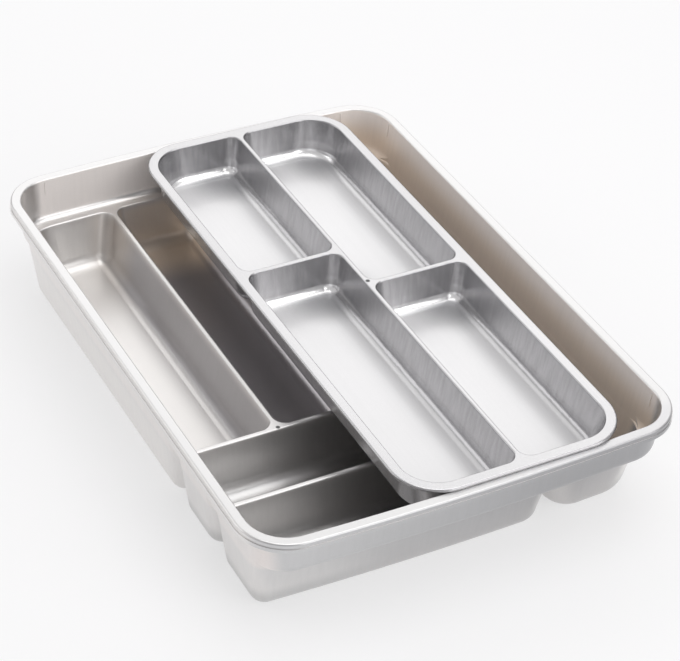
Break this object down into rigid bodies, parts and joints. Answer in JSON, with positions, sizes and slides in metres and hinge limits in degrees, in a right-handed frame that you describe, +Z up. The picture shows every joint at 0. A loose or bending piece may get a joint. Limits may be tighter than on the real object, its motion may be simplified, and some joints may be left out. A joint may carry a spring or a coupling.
{
  "type": "cutlery tray",
  "caption": "Deep drawer tray with a wide rolled rim, long and cross bays for cutlery, and a shallow divided tray that slides from side to side on its rim.",
  "frame": {"origin": "under the middle of the main tray, on the surface that it stands on", "axes": "+X to the right, along the slide; +Y from front to rear, along the long bays; +Z up"},
  "size_m": [0.2848, 0.3956, 0.0689],
  "materials": {
    "main_tray": "silver pearl, semi gloss moulded",
    "sliding_tray": "silver pearl, gloss moulded"
  },
  "bodies": {
    "tray": {"main_tray": "main_tray"},
    "slider": {"sliding_tray": "sliding_tray"}
  },
  "joints": [
    {"name": "slider_travel", "type": "slide", "parent": "tray", "child": "slider", "axis": [1, 0, 0], "range_m": [-0.095, 0.0365]}
  ]
}
